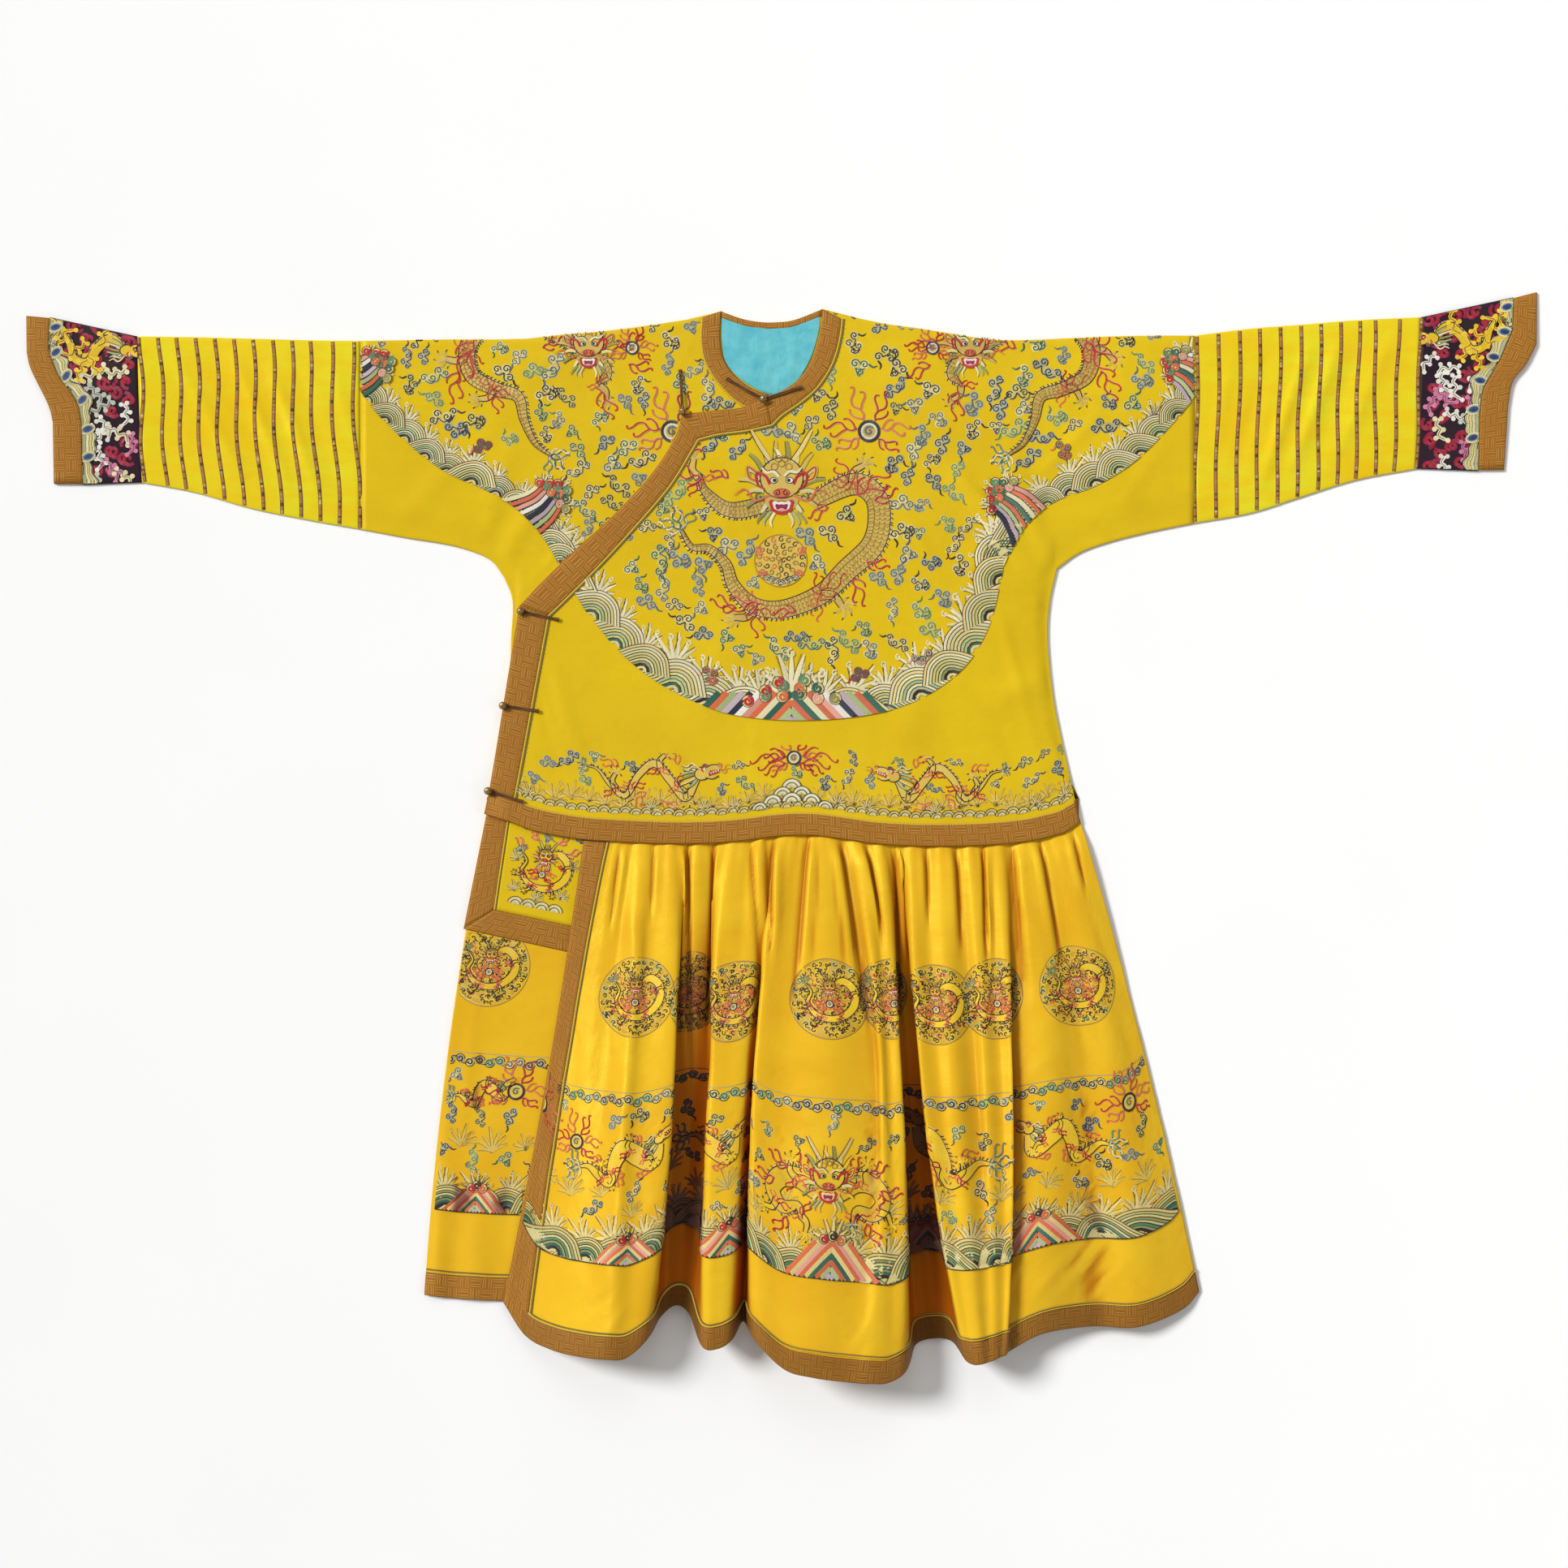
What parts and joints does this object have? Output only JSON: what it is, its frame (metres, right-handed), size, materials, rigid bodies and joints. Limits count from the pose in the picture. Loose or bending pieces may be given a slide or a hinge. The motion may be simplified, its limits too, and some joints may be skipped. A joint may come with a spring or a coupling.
{
  "type": "chinese dragon robe",
  "caption": "Side-fastening long-sleeved dragon robe in lined silk with a pleated skirt, brocade bindings and ball buttons, laid flat with its front up.",
  "frame": {"origin": "centre of the laid robe's outline, on the surface it lies on", "axes": "+X from the wearer's right cuff to the left cuff, +Y up the body towards the neck, +Z out of the front, away from the surface"},
  "size_m": [1.972, 1.4111, 0.082],
  "materials": {
    "yellow_silk": "satin",
    "golden_silk": "satin",
    "lemon_silk": "satin",
    "brown_brocade": "woven",
    "dark_cuff_silk": "satin",
    "turquoise_lining": "matte",
    "old_brass": "worn"
  },
  "bodies": {
    "root": {"back_body": "yellow_silk", "button_1": "old_brass", "button_2": "old_brass", "button_3": "old_brass", "button_4": "old_brass", "button_5": "old_brass", "closure_band_side": "brown_brocade", "closure_band_upper": "brown_brocade", "cuff_back_left": "dark_cuff_silk", "cuff_back_right": "dark_cuff_silk", "cuff_band_back_left": "brown_brocade", "cuff_band_back_right": "brown_brocade", "cuff_band_front_left": "brown_brocade", "cuff_band_front_right": "brown_brocade", "cuff_front_left": "dark_cuff_silk", "cuff_front_right": "dark_cuff_silk", "flap_band_foot": "brown_brocade", "flap_band_side": "brown_brocade", "flap_panel": "yellow_silk", "front_inner": "yellow_silk", "front_outer": "yellow_silk", "loop_1": "brown_brocade", "loop_2": "brown_brocade", "loop_3": "brown_brocade", "loop_4": "brown_brocade", "loop_5": "brown_brocade", "neck_band_back": "brown_brocade", "neck_band_inner": "brown_brocade", "neck_band_outer": "brown_brocade", "neck_lining": "turquoise_lining", "skirt_back": "golden_silk", "skirt_back_hem": "brown_brocade", "skirt_edge_band": "brown_brocade", "skirt_front": "golden_silk", "skirt_front_hem": "brown_brocade", "skirt_under": "golden_silk", "skirt_under_hem": "brown_brocade", "sleeve_back_left": "lemon_silk", "sleeve_back_right": "lemon_silk", "sleeve_front_left": "lemon_silk", "sleeve_front_right": "lemon_silk", "tab_1": "brown_brocade", "waist_band_back": "brown_brocade", "waist_band_front": "brown_brocade"}
  },
  "joints": []
}
